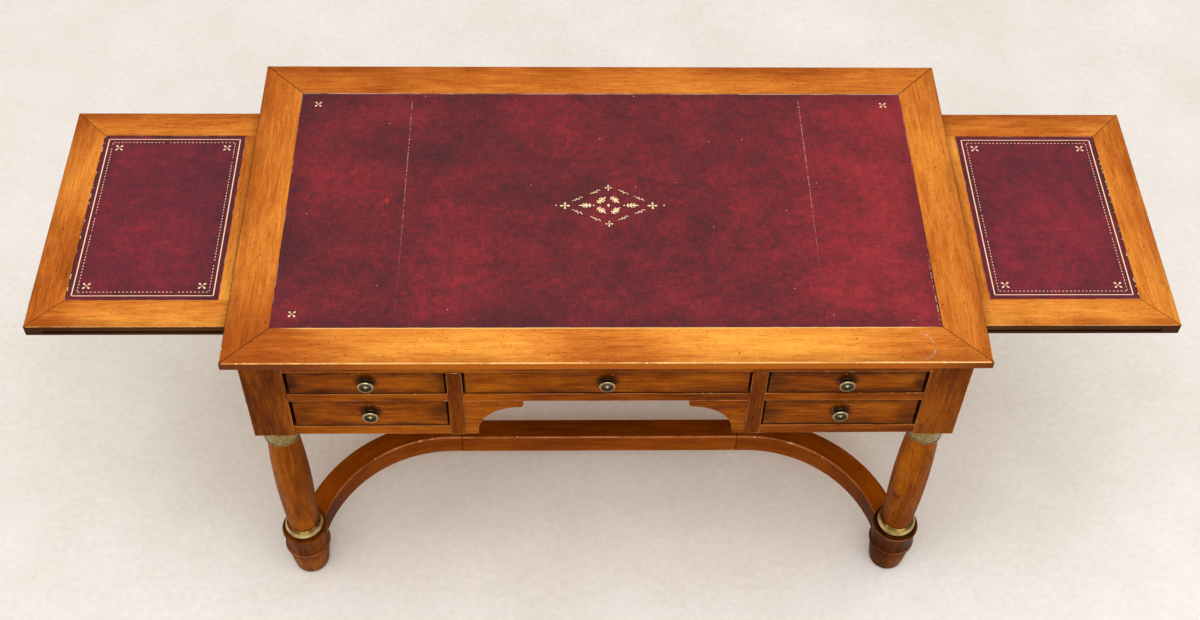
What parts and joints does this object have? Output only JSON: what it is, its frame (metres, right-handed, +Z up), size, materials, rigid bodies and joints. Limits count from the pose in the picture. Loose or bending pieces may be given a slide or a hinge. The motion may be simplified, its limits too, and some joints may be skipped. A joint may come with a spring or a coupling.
{
  "type": "partners desk",
  "caption": "Partners desk with a leather-lined top, pull-out writing slides at both ends, drawers on both sides, turned column legs and bowed stretchers.",
  "frame": {"origin": "on the floor, under the middle of the desk", "axes": "+X along the desk to the right of a person at the front, +Y from front to back, +Z up"},
  "size_m": [2.156, 0.78, 0.795],
  "materials": {
    "show_wood": "waxed, worn edges",
    "plain_wood": "planed, unfinished",
    "leather": "mottled, gold-tooled",
    "knob_brass": "aged",
    "ring_brass": "aged, polished high spots"
  },
  "bodies": {
    "desk": {"apron_brackets": "show_wood", "base_rings": "ring_brass", "bay_partitions": "plain_wood", "bottom_rails": "show_wood", "capital_rings": "ring_brass", "corner_posts": "show_wood", "divider_rails": "show_wood", "drawer_runners": "plain_wood", "leg_columns": "show_wood", "leg_feet": "show_wood", "side_panels": "show_wood", "slide_guides": "plain_wood", "slide_mouths": "show_wood", "spine_panels": "plain_wood", "stiles": "show_wood", "stretcher_bends": "show_wood", "stretcher_rails": "show_wood", "top_border_back": "show_wood", "top_border_front": "show_wood", "top_border_left": "show_wood", "top_border_right": "show_wood", "top_core": "plain_wood", "top_leather": "leather", "top_rails": "show_wood"},
    "slide_left": {"slide_left_core": "plain_wood", "slide_left_frame": "show_wood", "slide_left_leather": "leather"},
    "slide_right": {"slide_right_core": "plain_wood", "slide_right_frame": "show_wood", "slide_right_leather": "leather"},
    "front_left_upper_drawer": {"front_left_upper_drawer_box": "plain_wood", "front_left_upper_drawer_face": "show_wood", "front_left_upper_drawer_knob": "knob_brass"},
    "front_left_lower_drawer": {"front_left_lower_drawer_box": "plain_wood", "front_left_lower_drawer_face": "show_wood", "front_left_lower_drawer_knob": "knob_brass"},
    "front_right_upper_drawer": {"front_right_upper_drawer_box": "plain_wood", "front_right_upper_drawer_face": "show_wood", "front_right_upper_drawer_knob": "knob_brass"},
    "front_right_lower_drawer": {"front_right_lower_drawer_box": "plain_wood", "front_right_lower_drawer_face": "show_wood", "front_right_lower_drawer_knob": "knob_brass"},
    "front_middle_drawer": {"front_middle_drawer_box": "plain_wood", "front_middle_drawer_face": "show_wood", "front_middle_drawer_knob": "knob_brass"},
    "back_left_upper_drawer": {"back_left_upper_drawer_box": "plain_wood", "back_left_upper_drawer_face": "show_wood", "back_left_upper_drawer_knob": "knob_brass"},
    "back_left_lower_drawer": {"back_left_lower_drawer_box": "plain_wood", "back_left_lower_drawer_face": "show_wood", "back_left_lower_drawer_knob": "knob_brass"},
    "back_right_upper_drawer": {"back_right_upper_drawer_box": "plain_wood", "back_right_upper_drawer_face": "show_wood", "back_right_upper_drawer_knob": "knob_brass"},
    "back_right_lower_drawer": {"back_right_lower_drawer_box": "plain_wood", "back_right_lower_drawer_face": "show_wood", "back_right_lower_drawer_knob": "knob_brass"},
    "back_middle_drawer": {"back_middle_drawer_box": "plain_wood", "back_middle_drawer_face": "show_wood", "back_middle_drawer_knob": "knob_brass"}
  },
  "joints": [
    {"name": "slide_left_pull", "type": "slide", "parent": "desk", "child": "slide_left", "axis": [-1, 0, 0], "range_m": [-0.403, 0]},
    {"name": "slide_right_pull", "type": "slide", "parent": "desk", "child": "slide_right", "axis": [1, 0, 0], "range_m": [-0.403, 0]},
    {"name": "front_left_upper_drawer_pull", "type": "slide", "parent": "desk", "child": "front_left_upper_drawer", "axis": [0, -1, 0], "range_m": [0, 0.24]},
    {"name": "front_left_lower_drawer_pull", "type": "slide", "parent": "desk", "child": "front_left_lower_drawer", "axis": [0, -1, 0], "range_m": [0, 0.24]},
    {"name": "front_right_upper_drawer_pull", "type": "slide", "parent": "desk", "child": "front_right_upper_drawer", "axis": [0, -1, 0], "range_m": [0, 0.24]},
    {"name": "front_right_lower_drawer_pull", "type": "slide", "parent": "desk", "child": "front_right_lower_drawer", "axis": [0, -1, 0], "range_m": [0, 0.24]},
    {"name": "front_middle_drawer_pull", "type": "slide", "parent": "desk", "child": "front_middle_drawer", "axis": [0, -1, 0], "range_m": [0, 0.24]},
    {"name": "back_left_upper_drawer_pull", "type": "slide", "parent": "desk", "child": "back_left_upper_drawer", "axis": [0, 1, 0], "range_m": [0, 0.24]},
    {"name": "back_left_lower_drawer_pull", "type": "slide", "parent": "desk", "child": "back_left_lower_drawer", "axis": [0, 1, 0], "range_m": [0, 0.24]},
    {"name": "back_right_upper_drawer_pull", "type": "slide", "parent": "desk", "child": "back_right_upper_drawer", "axis": [0, 1, 0], "range_m": [0, 0.24]},
    {"name": "back_right_lower_drawer_pull", "type": "slide", "parent": "desk", "child": "back_right_lower_drawer", "axis": [0, 1, 0], "range_m": [0, 0.24]},
    {"name": "back_middle_drawer_pull", "type": "slide", "parent": "desk", "child": "back_middle_drawer", "axis": [0, 1, 0], "range_m": [0, 0.24]}
  ]
}
